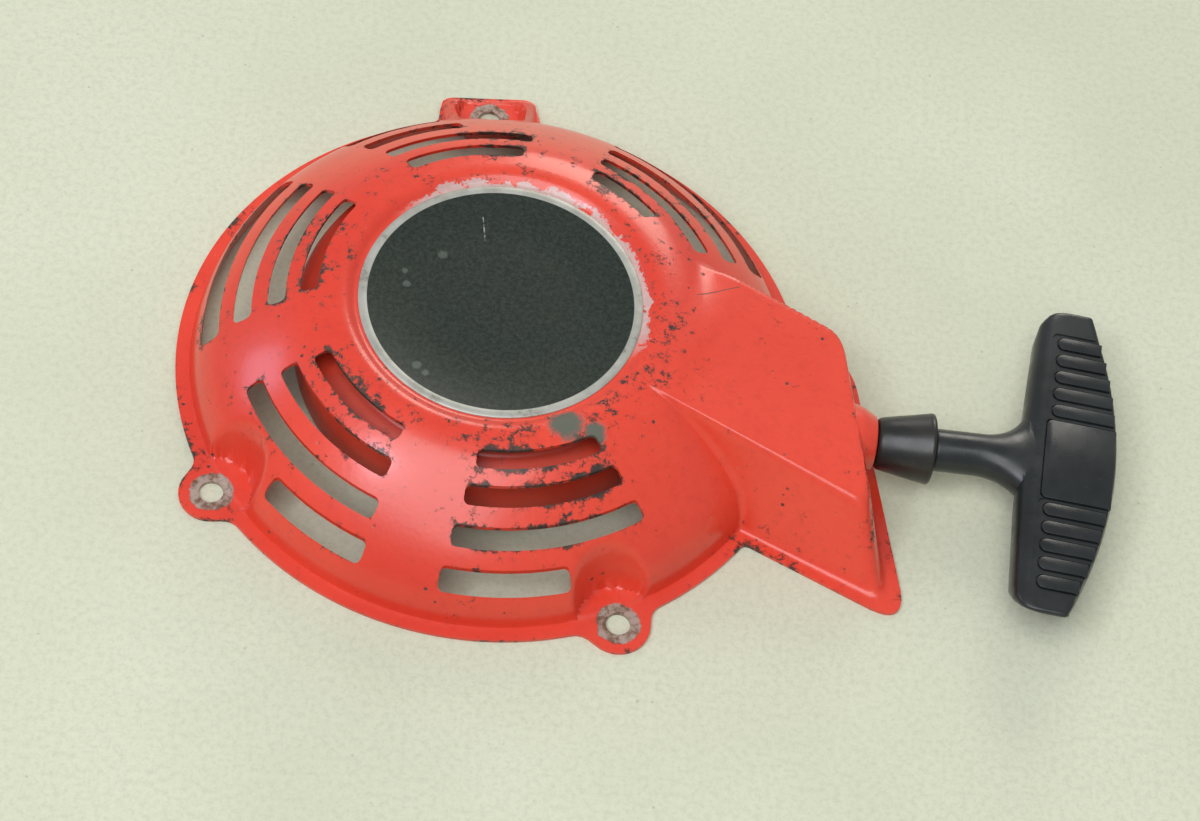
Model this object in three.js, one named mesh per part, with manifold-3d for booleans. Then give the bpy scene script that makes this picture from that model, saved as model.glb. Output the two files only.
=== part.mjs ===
// Recoil starter for a small vertical-shaft engine.
// Millimetres. Origin: crank axis at the mounting flange's underside.
// +Z points away from the engine, +X along the rope as it leaves the outlet.
import * as THREE from 'three';
import { ConvexGeometry } from 'three/addons/geometries/ConvexGeometry.js';
import { mergeVertices, toCreasedNormals } from 'three/addons/utils/BufferGeometryUtils.js';
import Module from 'manifold-3d';

const wasm = await Module();
wasm.setup();

// ---------- driving dimensions ----------
const GAP = 0.3;
const SHEET = 1.2;

// cover: profile of the pressed dome, radius and height of each bend
const FLANGE_R = 95.7;
const SKIRT_R = 91.4;
const RECESS_R = 42.6;
const RECESS_Z = 34.6;
const DOME = [
  [RECESS_R, RECESS_Z], [44.6, 36.6], [47.4, 37.4], [53, 36.6], [58.9, 34.8], [68.5, 29.3],
  [78.2, 22.2], [84, 17], [87.6, 12.6], [90, 7.6], [91, 3.4], [SKIRT_R, SHEET],
];

// slots: four rings in five groups, with ribs of one width between the groups
const SLOT_RINGS = [56.3, 65.8, 75.7, 85.2];
const SLOT_WIDTH = 5.2;
const SLOT_CORNER = 1.5;
const SLOT_FIRST_GROUP = 46.5;
const SLOT_PITCH = 60;
const SLOT_GROUPS = 5;
const RIB_HALF_WIDTH = 11.3;
// slots cut short beside the ears and the snout: [group, ring, side, new end angle]
const SHORT_SLOTS = [
  [0, 0, 'start', 41.3], [1, 2, 'start', 103.8], [1, 3, 'start', 107.4],
  [3, 3, 'start', 225.2], [4, 3, 'end', 289.7],
];

// ears
const BOLT_CIRCLE_R = 96;
const BOLT_HOLE_R = 3.6;
const EAR_R = 9.6;
const EARS = { back: 96, left: 216, right: 297.3 };
const POCKET_FOOT_R = { back: 10, left: 12, right: 12 };
const POCKET_TOP_R = 19;
const POCKET_HEIGHT = 32;

// snout: each side is a line in plan, given by its outward direction and distance
const SNOUT_FOOT = [
  { angle: -114.3, distance: 12.6 }, { angle: 11.5, distance: 107 },
  { angle: 69.5, distance: 50.5 }, { angle: 159.5, distance: -50 },
];
const SNOUT_ROOF = [
  { angle: -110.5, distance: 8.4 }, { angle: 9, distance: 101 },
  { angle: 69.5, distance: 43.3 }, { angle: 159.5, distance: -48 },
];
const SNOUT_CORNERS = [0.8, 8, 8, 0.8];
const SNOUT_LIP = 4;
const ROOF_ANGLE = -20.5;
const ROOF_Z = 31;
const ROOF_REFERENCE = 85;
const ROOF_SLOPE = 0.16;
const ROOF_TILT = 0.05;

// rope line
const PULL_Y = -21.8;
const PULL_Z = 15;
const ROPE_R = 2.1;
const ROPE_BORE_R = 2.8;
const COIL_R = 53;
const COIL_PITCH = 4.4;
const COIL_TURNS = 4;
const BEND_X = 109.5;
const BEND_LENGTH = 2.7;
const BOSS_END_X = 115.2;

// grip
const BUMPER_X0 = BOSS_END_X + GAP;
const BUMPER_LENGTH = 17;
const STEM_X0 = BUMPER_X0 + BUMPER_LENGTH + GAP;
const STEM_R = 6.4;
const BAR_X = 159.3;
const BAR_Y = -22.6;
const BAR_TILT = -5.5;
const BAR_WIDTH = 28;
const BAR_END_WIDTH = 16.8;
const BAR_HALF_LENGTH = 53.9;
const BAR_HALF_THICKNESS = 6.5;
const BAR_BEVEL = 2.4;
const BAR_UNDERCUT = 10;
const BAR_END_THICKNESS = 1.5;
const POCKET_X = 168;
const POCKET_R = 4.6;
const RIBS_PER_SIDE = 5;
const RIB_PITCH = 6.26;
const FIRST_RIB = 17.8;
const PAD_SHIFT = -1.2;

// reel housing, inverted cup under the dome
const HOUSING_TOP_Z = 33.1;
const HOUSING_SHEET = 1.4;
const LEDGE_Z = 27;
const DRUM_R = 60.5;
const DRUM_BOTTOM_Z = 9;
const RIVET_CIRCLE_R = 27;
const RIVET_R = 2.4;

// reel and shaft
const JOURNAL_R = 7;
const SPRING_HUB_R = 11;
const REEL_R = 57;
const REEL_CORE_R = 32.4;
const REEL_WALL = 1.5;
const WEB_Z0 = 14;
const WEB_Z1 = 15.8;
const GROOVE_HALF_WIDTH = 2.7;
const REEL_FLANGE = 1.4;

// ratchet: the guide's cam edge pushes a pin on each pawl outwards
const PAWL_PIVOT_R = 19;
const PAWL_LENGTH = 11.5;
const PAWL_SWING = 30;
const GUIDE_LAG = 35;
const CAM_PIN_REACH = 7;
const CAM_PIN_R = 1.2;
const PAWL_Z0 = 9.4;
const PAWL_Z1 = 12;

// ---------- materials ----------
function material(colour, roughness, metalness) {
  return new THREE.MeshStandardMaterial({ color: colour, roughness, metalness });
}

const redPaint = material(0xd8432c, 0.35, 0.1);
const innerPaint = material(0xb02a1c, 0.45, 0.1);
const emblemBlack = material(0x23271f, 0.4, 0.2);
const blackRubber = material(0x1b1b1a, 0.7, 0);
const gripPlastic = material(0x262825, 0.5, 0);
const rope = material(0xd8d4c4, 0.9, 0);
const zincSteel = material(0xb9bcbf, 0.35, 0.9);
const springSteel = material(0x4d4f52, 0.4, 0.9);
const hardSteel = material(0x8a8c8e, 0.4, 0.9);
const reelPlastic = material(0x2c2f33, 0.55, 0);
const bushNylon = material(0xe6e2d6, 0.5, 0);

// ---------- solids ----------
const radians = (degrees) => degrees * Math.PI / 180;

function polar(radius, degrees) {
  return [radius * Math.cos(radians(degrees)), radius * Math.sin(radians(degrees))];
}

function solid(source) {
  let geometry = source.index ? source.toNonIndexed() : source.clone();
  geometry.deleteAttribute('normal');
  geometry.deleteAttribute('uv');
  geometry = mergeVertices(geometry, 1e-4);
  const position = geometry.attributes.position.array;
  const index = Uint32Array.from(geometry.index.array);
  let volume = 0;
  const [a, b, c] = [new THREE.Vector3(), new THREE.Vector3(), new THREE.Vector3()];
  for (let i = 0; i < index.length; i += 3) {
    a.fromArray(position, index[i] * 3);
    b.fromArray(position, index[i + 1] * 3);
    c.fromArray(position, index[i + 2] * 3);
    volume += a.dot(b.cross(c));
  }
  if (volume < 0) {
    for (let i = 0; i < index.length; i += 3) {
      [index[i], index[i + 1]] = [index[i + 1], index[i]];
    }
  }
  const vertProperties = Float32Array.from(position);
  return new wasm.Manifold(new wasm.Mesh({ numProp: 3, vertProperties, triVerts: index }));
}

function join(...parts) {
  return parts.reduce((whole, part) => whole.add(part));
}

function cut(body, ...tools) {
  return tools.reduce((whole, tool) => whole.subtract(tool), body);
}

function surface(body) {
  const mesh = body.getMesh();
  const geometry = new THREE.BufferGeometry();
  geometry.setAttribute('position', new THREE.BufferAttribute(Float32Array.from(mesh.vertProperties), 3));
  geometry.setIndex(Array.from(mesh.triVerts));
  return geometry;
}

// solid of revolution about Z; the profile is a list of [radius, z]
function turned(profile, segments) {
  const points = profile.map(([r, z]) => new THREE.Vector2(r, z));
  return solid(new THREE.LatheGeometry(points, segments).rotateX(Math.PI / 2));
}

// hollow solid of revolution: the profile closes on itself
function ring(profile, segments) {
  return turned([...profile, profile[0]], segments);
}

// the same about an axis along +X through the rope line; the profile is a list of [radius, x]
function turnedAlongPull(profile, segments) {
  const points = profile.map(([r, x]) => new THREE.Vector2(r, x));
  const lathe = new THREE.LatheGeometry([...points, points[0].clone()], segments);
  return solid(lathe.rotateZ(-Math.PI / 2).translate(0, PULL_Y, PULL_Z));
}

function solidAlongPull(profile, segments) {
  const points = profile.map(([r, x]) => new THREE.Vector2(r, x));
  return solid(new THREE.LatheGeometry(points, segments).rotateZ(-Math.PI / 2).translate(0, PULL_Y, PULL_Z));
}

function prism(outline, z0, z1) {
  const shape = new THREE.Shape(outline.map(([x, y]) => new THREE.Vector2(x, y)));
  const geometry = new THREE.ExtrudeGeometry(shape, { depth: z1 - z0, bevelEnabled: false });
  return solid(geometry.translate(0, 0, z0));
}

function disc(radius, z0, z1, x = 0, y = 0, segments = 32) {
  const geometry = new THREE.CylinderGeometry(radius, radius, z1 - z0, segments);
  return solid(geometry.rotateX(Math.PI / 2).translate(x, y, (z0 + z1) / 2));
}

function cone(footRadius, topRadius, z0, z1, x, y, segments = 32) {
  const geometry = new THREE.CylinderGeometry(topRadius, footRadius, z1 - z0, segments);
  return solid(geometry.rotateX(Math.PI / 2).translate(x, y, (z0 + z1) / 2));
}

function tube(curve, radius, steps, sides) {
  const section = new THREE.Shape();
  section.absarc(0, 0, radius, 0, 2 * Math.PI);
  return new THREE.ExtrudeGeometry(section, {
    steps, extrudePath: curve, curveSegments: sides, bevelEnabled: false,
  });
}

// point where two plan lines cross
function crossing(first, second) {
  const [ax, ay] = polar(1, first.angle);
  const [bx, by] = polar(1, second.angle);
  const det = ax * by - ay * bx;
  return [
    (first.distance * by - second.distance * ay) / det,
    (ax * second.distance - bx * first.distance) / det,
  ];
}

// convex loop from its side lines, each corner turned with an arc
function roundedLoop(lines, radii, outset) {
  const moved = lines.map(({ angle, distance }) => ({ angle, distance: distance + outset }));
  const steps = 3;
  const loop = [];
  moved.forEach((line, i) => {
    const next = moved[(i + 1) % moved.length];
    const radius = radii[(i + 1) % radii.length];
    const centre = crossing(
      { angle: line.angle, distance: line.distance - radius },
      { angle: next.angle, distance: next.distance - radius },
    );
    const turn = ((next.angle - line.angle) % 360 + 360) % 360;
    for (let k = 0; k <= steps; k += 1) {
      const [dx, dy] = polar(radius, line.angle + turn * k / steps);
      loop.push([centre[0] + dx, centre[1] + dy]);
    }
  });
  return loop;
}

// ---------- starter case ----------
const rivetPlaces = [0, 1, 2, 3].map((k) => polar(RIVET_CIRCLE_R, 45 + 90 * k));

// the profile moved inwards by the sheet's thickness
function insideOf(profile, thickness) {
  return profile.map(([r, z], i) => {
    const [r0, z0] = profile[Math.max(i - 1, 0)];
    const [r1, z1] = profile[Math.min(i + 1, profile.length - 1)];
    const length = Math.hypot(r1 - r0, z1 - z0);
    return [r + thickness * (z1 - z0) / length, z - thickness * (r1 - r0) / length];
  });
}

function domeSolid(inset) {
  const wall = inset > 0 ? insideOf(DOME, inset).filter((_, i) => i % 2 === 1 || i < 1) : DOME;
  const floor = inset > 0 ? -1 : 0;
  const last = SKIRT_R - inset;
  return turned([[0, RECESS_Z - inset], ...wall, [last, floor], [0, floor]], 48);
}

function roofHeight([x, y]) {
  const [dx, dy] = polar(1, ROOF_ANGLE);
  const along = x * dx + y * dy;
  const across = y * dx - x * dy;
  return ROOF_Z - ROOF_SLOPE * (along - ROOF_REFERENCE) - ROOF_TILT * across;
}

function snoutSolid(inset) {
  const floor = inset > 0 ? -1 : 0;
  const points = [];
  const add = (loop, height) => loop.forEach((p) => points.push(new THREE.Vector3(p[0], p[1], height(p))));
  add(roundedLoop(SNOUT_FOOT, SNOUT_CORNERS, -inset), () => floor);
  add(roundedLoop(SNOUT_ROOF, SNOUT_CORNERS, -inset), (p) => roofHeight(p) - inset - 2);
  add(roundedLoop(SNOUT_ROOF, SNOUT_CORNERS, -inset - 2.2), (p) => roofHeight(p) - inset);
  return solid(new ConvexGeometry(points));
}

function earCentre(angle) {
  return polar(BOLT_CIRCLE_R, angle);
}

function pocket(name, grow) {
  const [x, y] = earCentre(EARS[name]);
  return cone(POCKET_FOOT_R[name] + grow, POCKET_TOP_R + grow, SHEET, SHEET + POCKET_HEIGHT, x, y, 28);
}

// raised block of the back ear, its pocket cut later
function earBlock(angle, inset) {
  const foot = [[15, 80], [15, 98.5], [12.2, 102.4], [7, 103.6]];
  const top = [[12.6, 80, 14], [12.6, 96.4, 7.4], [10.6, 100.2, 5.6], [6, 101.4, 5]];
  const [ux, uy] = polar(1, angle);
  const points = [];
  const add = (side, out, z) => [-1, 1].forEach((mirror) => {
    const [s, o] = [mirror * (side - inset), out - inset];
    points.push(new THREE.Vector3(o * ux + s * uy, o * uy - s * ux, z));
  });
  foot.forEach(([side, out]) => add(side, out, inset > 0 ? -1 : 0));
  top.forEach(([side, out, z]) => add(side, out, z - inset));
  return solid(new ConvexGeometry(points));
}

// plan outline given as [sideways, outwards] pairs and turned to an ear's angle
function earPlate(outline, angle) {
  const [ux, uy] = polar(1, angle);
  return prism(outline.map(([side, out]) => [out * ux + side * uy, out * uy - side * ux]), 0, SHEET);
}

function roundEar(angle) {
  const half = [[18, 93.8], [13.5, 95.4], [10.8, 97.4], [9.5, 100]];
  const outline = [...half, ...half.map(([s, o]) => [-s, o]).reverse(), [0, 88]];
  const [x, y] = earCentre(angle);
  return join(earPlate(outline, angle), disc(EAR_R, 0, SHEET, x, y));
}

function wideEar(angle) {
  const half = [[21, 93.2], [18, 95], [16.4, 98], [15.6, 101.4], [12, 104.6], [7, 105.4]];
  return earPlate([...half, ...half.map(([s, o]) => [-s, o]).reverse(), [0, 88]], angle);
}

function arcSlot(radius, start, end) {
  const [inner, outer] = [radius - SLOT_WIDTH / 2, radius + SLOT_WIDTH / 2];
  const steps = 4;
  const outline = [];
  const arc = (r, from, to) => {
    const trim = Math.sign(to - from) * SLOT_CORNER / radians(r);
    for (let k = 0; k <= steps; k += 1) {
      outline.push(polar(r, from + trim + (to - from - 2 * trim) * k / steps));
    }
  };
  arc(outer, start, end);
  outline.push(polar(outer - SLOT_CORNER, end), polar(inner + SLOT_CORNER, end));
  arc(inner, end, start);
  outline.push(polar(inner + SLOT_CORNER, start), polar(outer - SLOT_CORNER, start));
  return prism(outline, 6, 45);
}

function slots() {
  const cuts = [];
  for (let group = 0; group < SLOT_GROUPS; group += 1) {
    const middle = SLOT_FIRST_GROUP + SLOT_PITCH * group;
    SLOT_RINGS.forEach((radius, ringIndex) => {
      const half = SLOT_PITCH / 2 - Math.asin(RIB_HALF_WIDTH / radius) * 180 / Math.PI;
      const ends = { start: middle - half, end: middle + half };
      SHORT_SLOTS.forEach(([g, r, side, angle]) => {
        if (g === group && r === ringIndex) ends[side] = angle;
      });
      cuts.push(arcSlot(radius, ends.start, ends.end));
    });
  }
  return cuts;
}

// round nose on the snout's end wall where the rope comes out
function bossSolid(inset) {
  const back = 100 - inset;
  const end = BOSS_END_X - (inset > 0 ? 1.6 : 0);
  return solidAlongPull([
    [0, back], [11.7 - inset, back], [11.6 - inset, 107.5 - inset / 2], [10.6 - inset, 110.5 - inset / 2],
    [7.8 - inset, end], [0, end],
  ], 32);
}

function starterCase() {
  const ears = Object.keys(EARS);
  const outside = cut(
    join(domeSolid(0), snoutSolid(0), earBlock(EARS.back, 0), bossSolid(0)),
    ...ears.map((name) => pocket(name, 0)),
  );
  const inside = cut(
    join(domeSolid(SHEET), snoutSolid(SHEET), earBlock(EARS.back, SHEET), bossSolid(SHEET)),
    ...ears.map((name) => pocket(name, SHEET)),
    ...ears.map((name) => disc(POCKET_FOOT_R[name] + SHEET, -2, SHEET, ...earCentre(EARS[name]), 28)),
  );
  const lip = prism(roundedLoop(SNOUT_FOOT, [0.8, 10, 10, 0.8], SNOUT_LIP), 0, SHEET);
  const flange = disc(FLANGE_R, 0, SHEET, 0, 0, 60);
  const plate = join(flange, lip, roundEar(EARS.left), roundEar(EARS.right), wideEar(EARS.back));
  const boltHoles = ears.map((name) => disc(BOLT_HOLE_R, -1, 8, ...earCentre(EARS[name]), 24));
  const ropeHole = solidAlongPull([[0, 100], [4.6, 100], [4.6, 120], [0, 120]], 24);
  const rivetHoles = rivetPlaces.map(([x, y]) => disc(RIVET_R + GAP, 30, 40, x, y, 16));
  return cut(join(outside, plate), inside, ropeHole, ...slots(), ...boltHoles, ...rivetHoles);
}

// ---------- fixed pieces inside the case ----------
function reelHousing() {
  const outer = [
    [47.5, HOUSING_TOP_Z], [48.6, 31.6], [49.6, LEDGE_Z + 0.6], [50.6, LEDGE_Z],
    [58, LEDGE_Z], [60, 26], [DRUM_R, 23.6], [DRUM_R, DRUM_BOTTOM_Z],
  ];
  const inner = insideOf(outer, HOUSING_SHEET).reverse();
  const boreR = 6;
  const cup = ring([[boreR, HOUSING_TOP_Z], ...outer, [DRUM_R - HOUSING_SHEET, DRUM_BOTTOM_Z],
    ...inner.slice(1), [boreR, HOUSING_TOP_Z - HOUSING_SHEET]], 40);
  const window = prism([[40, 8], [70, 4], [70, 46], [40, 34]], 0, 21);
  const holes = rivetPlaces.map(([x, y]) => disc(RIVET_R + GAP, 30, 35, x, y, 16));
  return cut(cup, window, ...holes);
}

function rivet([x, y]) {
  const underside = HOUSING_TOP_Z - HOUSING_SHEET;
  return join(
    disc(RIVET_R, underside - GAP, RECESS_Z - 0.1, x, y, 16),
    cone(2.6, 4, underside - GAP - 1.5, underside - GAP, x, y, 16),
  );
}

function reelShaft() {
  const top = HOUSING_TOP_Z - HOUSING_SHEET - GAP;
  const profile = [
    [0, top], [16, top], [16, top - 1.6], [SPRING_HUB_R, top - 1.6], [SPRING_HUB_R, WEB_Z1 + GAP],
    [JOURNAL_R, WEB_Z1 + GAP], [JOURNAL_R, 4.5], [3.2, 4.5], [3.2, 20], [0, 20],
  ];
  const slot = prism([[8.5, -1], [12, -1], [12, 0.6], [8.5, 0.6]], WEB_Z1 + GAP - 0.1, top - 1.6);
  return cut(turned(profile, 28), slot);
}

function ropeBush() {
  return turnedAlongPull([
    [ROPE_BORE_R, 115.1], [4.3, 115.1], [4.3, 113.3], [6.2, 113.3], [6.2, 110.6],
    [5.7, 110.2], [4.6, 110.7], [3.5, 112], [ROPE_BORE_R, 113.4],
  ], 24);
}

// ---------- rope ----------
// bend in the outlet bush, and the point where the rope leaves the coil
const bend = new THREE.Vector3(BEND_X, PULL_Y, PULL_Z);
const bendDistance = Math.hypot(BEND_X, PULL_Y);
const leadAngle = Math.atan2(PULL_Y, BEND_X) - Math.asin(COIL_R / bendDistance);
const leaveAngle = leadAngle + Math.PI / 2;

class CoilCurve extends THREE.Curve {
  getPoint(t, target = new THREE.Vector3()) {
    const turn = (0.006 + t * (COIL_TURNS - 0.006)) * 2 * Math.PI;
    const radius = COIL_R - COIL_PITCH * turn / (2 * Math.PI);
    return target.set(radius * Math.cos(leaveAngle + turn), radius * Math.sin(leaveAngle + turn), PULL_Z);
  }
}

function ropeCoil() {
  return solid(tube(new CoilCurve(), ROPE_R, 72, 3));
}

function ropeLead() {
  const heading = new THREE.Vector3(Math.cos(leadAngle), Math.sin(leadAngle), 0);
  const start = new THREE.Vector3(COIL_R * Math.cos(leaveAngle), COIL_R * Math.sin(leaveAngle), PULL_Z);
  const into = bend.clone().addScaledVector(heading, -BEND_LENGTH);
  const out = bend.clone().add(new THREE.Vector3(BEND_LENGTH, 0, 0));
  const path = new THREE.CurvePath();
  path.add(new THREE.LineCurve3(start, into));
  path.add(new THREE.QuadraticBezierCurve3(into, bend, out));
  path.add(new THREE.LineCurve3(out, new THREE.Vector3(POCKET_X + 2, PULL_Y, PULL_Z)));
  return solid(tube(path, ROPE_R, 36, 3));
}

function knot(x, y, z, radius, alongX) {
  const ball = new THREE.SphereGeometry(radius, 14, 10);
  ball.scale(alongX ? 0.95 : 1, 1, alongX ? 1 : 0.45);
  return solid(ball.translate(x, y, z));
}

// ---------- grip ----------
function bumper() {
  const end = BUMPER_X0 + BUMPER_LENGTH;
  return turnedAlongPull([
    [ROPE_BORE_R, BUMPER_X0], [6.8, BUMPER_X0], [7.6, BUMPER_X0 + 0.8], [10.6, end - 1.4],
    [10.2, end - 0.3], [9.4, end], [ROPE_BORE_R, end],
  ], 32);
}

// the bar's own frame: x across it from the finger side, y along it from its middle
function bowAt(w) {
  return BAR_WIDTH - (BAR_WIDTH - BAR_END_WIDTH) * (w / BAR_HALF_LENGTH) ** 2;
}

function barOutline(inset) {
  const side = [[-0.6, 17], [0.4, 44], [1.4, 49.2], [4, 52.8], [7.4, BAR_HALF_LENGTH]];
  const bow = [];
  for (let k = 0; k <= 5; k += 1) {
    const w = BAR_HALF_LENGTH * (1 - k / 5);
    bow.push([bowAt(w), w]);
  }
  const upper = [...side, ...bow];
  const lower = upper.slice(0, -1).reverse().map(([x, w]) => [x, -w]);
  return [...upper, ...lower].map(([x, w]) => [
    x + (x < BAR_WIDTH / 3 ? inset : -inset),
    w - Math.sign(w) * (Math.abs(w) > 40 ? inset : 0),
  ]);
}

function capsule(x0, x1, y, halfWidth, z0, z1) {
  const steps = 4;
  const outline = [];
  for (let k = 0; k <= steps; k += 1) {
    const a = Math.PI / 2 + Math.PI * k / steps;
    outline.push([x0 + halfWidth + halfWidth * Math.cos(a), y + halfWidth * Math.sin(a)]);
  }
  outline.push([x1, y - halfWidth], [x1, y + halfWidth]);
  return prism(outline, z0, z1);
}

function gripRibs() {
  const ribs = [];
  for (let k = 0; k < RIBS_PER_SIDE; k += 1) {
    [-1, 1].forEach((side) => {
      const w = PAD_SHIFT + side * (FIRST_RIB + RIB_PITCH * k);
      const edge = bowAt(w) - 3.2;
      ribs.push(capsule(6.8, edge, w, 2.1, BAR_HALF_THICKNESS - 0.5, BAR_HALF_THICKNESS + 0.4));
      ribs.push(capsule(6.8, edge, w, 2.1, -BAR_HALF_THICKNESS - 0.4, -BAR_HALF_THICKNESS + 0.5));
    });
  }
  return ribs;
}

// the bar's ends run up to its top face, so the underside is cut back at a slant
function endCut(side) {
  const slope = (2 * BAR_HALF_THICKNESS - BAR_END_THICKNESS) / BAR_UNDERCUT;
  const low = -BAR_HALF_THICKNESS - 2;
  const near = BAR_HALF_LENGTH - BAR_UNDERCUT - 2 / slope;
  const far = BAR_HALF_LENGTH + 4;
  const corners = [[near, low], [far, low], [far, low + slope * (far - near)]];
  const triangle = new THREE.Shape(corners.map(([w, z]) => new THREE.Vector2(side * w, z)));
  const wedge = new THREE.ExtrudeGeometry(triangle, { depth: 60, bevelEnabled: false });
  return solid(wedge.rotateX(Math.PI / 2).rotateZ(Math.PI / 2).translate(-15, 0, 0));
}

function gripBar() {
  const shape = new THREE.Shape(barOutline(BAR_BEVEL).map(([x, w]) => new THREE.Vector2(x, w)));
  const depth = 2 * (BAR_HALF_THICKNESS - BAR_BEVEL);
  const bar = new THREE.ExtrudeGeometry(shape, {
    depth, bevelEnabled: true, bevelSize: BAR_BEVEL, bevelThickness: BAR_BEVEL, bevelSegments: 2,
  }).translate(0, 0, -depth / 2);
  const whole = cut(join(solid(bar), ...gripRibs()), endCut(1), endCut(-1));
  return whole.rotate([0, 0, BAR_TILT]).translate([BAR_X, BAR_Y, PULL_Z]);
}

function pullHandle() {
  const flareHalf = [[146, 4.4], [152, 6], [156.5, 8.6], [160, 13], [166, 20]];
  const flareOutline = [...flareHalf, ...flareHalf.map(([x, w]) => [x, -w]).reverse()];
  const flare = new THREE.ExtrudeGeometry(
    new THREE.Shape(flareOutline.map(([x, w]) => new THREE.Vector2(x, w + PULL_Y))),
    { depth: 6, bevelEnabled: true, bevelSize: 1.6, bevelThickness: 3, bevelSegments: 2 },
  ).translate(0, 0, PULL_Z - 3);
  const stem = solidAlongPull([
    [0, STEM_X0], [STEM_R - 0.5, STEM_X0], [STEM_R, STEM_X0 + 1], [6.5, 152], [6.3, 166], [0, 166],
  ], 28);
  const bore = solidAlongPull([
    [0, 120], [ROPE_BORE_R, 120], [ROPE_BORE_R, POCKET_X], [POCKET_R, POCKET_X], [POCKET_R, 195], [0, 195],
  ], 24);
  return cut(join(gripBar(), solid(flare), stem), bore);
}

function ropeRetainer() {
  return turnedAlongPull([
    [ROPE_R + GAP, POCKET_X + GAP], [4.2, POCKET_X + GAP],
    [4.2, POCKET_X + 1.6], [ROPE_R + GAP, POCKET_X + 1.6],
  ], 24);
}

// ---------- reel ----------
const pawlAngles = { a: 0, b: 180 };
const knotAngle = leaveAngle * 180 / Math.PI + COIL_TURNS * 360 + 9;
const knotPlace = polar(COIL_R - COIL_PITCH * COIL_TURNS + 0.6, knotAngle);

function reel() {
  const grooveLow = PULL_Z - GROOVE_HALF_WIDTH;
  const grooveHigh = PULL_Z + GROOVE_HALF_WIDTH;
  const wallInside = REEL_CORE_R - REEL_WALL;
  const hubR = JOURNAL_R + GAP;
  const body = ring([
    [hubR, 9.2], [11.5, 9.2], [11.5, WEB_Z0], [wallInside, WEB_Z0], [wallInside, grooveLow - REEL_FLANGE],
    [REEL_R, grooveLow - REEL_FLANGE], [REEL_R, grooveLow], [REEL_CORE_R, grooveLow],
    [REEL_CORE_R, grooveHigh], [REEL_R, grooveHigh], [REEL_R, grooveHigh + REEL_FLANGE],
    [REEL_CORE_R, grooveHigh + REEL_FLANGE], [REEL_CORE_R, 28.8], [wallInside, 28.8],
    [wallInside, WEB_Z1], [hubR, WEB_Z1],
  ], 40);
  const pinHoles = Object.values(pawlAngles).map((angle) => {
    const [x, y] = polar(PAWL_PIVOT_R, angle);
    return disc(2.5, 8, 20, x, y, 20);
  });
  const knotHole = disc(4.2, PULL_Z - 0.2, 23, ...knotPlace, 20);
  const lightening = [30, 90, 210, 270].map((angle) => disc(4.5, 12, 18, ...polar(21.5, angle), 20));
  const hookSlot = prism([[30, 3], [35, 3], [35, 4.4], [30, 4.4]], 20, 30);
  return cut(body, knotHole, hookSlot, ...pinHoles, ...lightening);
}

function recoilSpring() {
  const turns = 6;
  const steps = 16 * turns;
  const [r0, r1] = [12.2, 30.4];
  const half = 0.3;
  const outerSide = [];
  const innerSide = [];
  for (let k = 0; k <= steps; k += 1) {
    const radius = r0 + (r1 - r0) * k / steps;
    const angle = 360 * turns * k / steps + 8;
    outerSide.push(polar(radius + half, angle));
    innerSide.push(polar(radius - half, angle));
  }
  return prism([...outerSide, ...innerSide.reverse()], WEB_Z1 + 0.6, 28);
}

// ---------- ratchet ----------
function pawl(angle) {
  const outline = [];
  const backSteps = 8;
  for (let k = 0; k <= backSteps; k += 1) {
    outline.push(polar(4, 180 * k / backSteps));
  }
  const tip = -PAWL_LENGTH;
  outline.push([-3.4, -4], [-1.2, tip], [1.6, tip - 1], [3.2, tip + 0.6], [3.8, -4]);
  const plate = prism(outline, PAWL_Z0, PAWL_Z1);
  const pin = disc(CAM_PIN_R, 5.8, PAWL_Z0 + 0.4, 0, -CAM_PIN_REACH, 14);
  const bore = disc(2.5, PAWL_Z0 - 1, PAWL_Z1 + 1, 0, 0, 20);
  return cut(join(plate, pin), bore).translate([PAWL_PIVOT_R, 0, 0]).rotate([0, 0, angle]);
}

function pawlPin(angle) {
  const [x, y] = polar(PAWL_PIVOT_R, angle);
  return disc(2.2, 9.1, WEB_Z1 - 0.2, x, y, 20);
}

class PawlSpringCurve extends THREE.Curve {
  getPoint(t, target = new THREE.Vector3()) {
    const turns = 1.6;
    const legPart = 0.2;
    const wind = (s) => {
      const angle = 2 * Math.PI * turns * s + Math.PI * 0.25;
      return new THREE.Vector3(3.5 * Math.cos(angle), 3.5 * Math.sin(angle), 12.45 + 1.05 * s);
    };
    if (t < legPart) {
      const away = new THREE.Vector3(Math.sin(Math.PI * 0.25), -Math.cos(Math.PI * 0.25), 0);
      return target.copy(wind(0)).addScaledVector(away, 6 * (1 - t / legPart));
    }
    return target.copy(wind((t - legPart) / (1 - legPart)));
  }
}

function pawlSpring(angle) {
  const wire = tube(new PawlSpringCurve(), 0.28, 28, 3);
  return solid(wire).translate([PAWL_PIVOT_R, 0, 0]).rotate([0, 0, angle]);
}

// where the cam pin lies in the guide's own frame when the guide has lagged by this share of its travel
function camPin(share) {
  const swing = radians(PAWL_SWING * share);
  const x = PAWL_PIVOT_R + CAM_PIN_REACH * Math.sin(swing);
  const y = -CAM_PIN_REACH * Math.cos(swing);
  return { radius: Math.hypot(x, y), angle: Math.atan2(y, x) * 180 / Math.PI - GUIDE_LAG * share };
}

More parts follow.
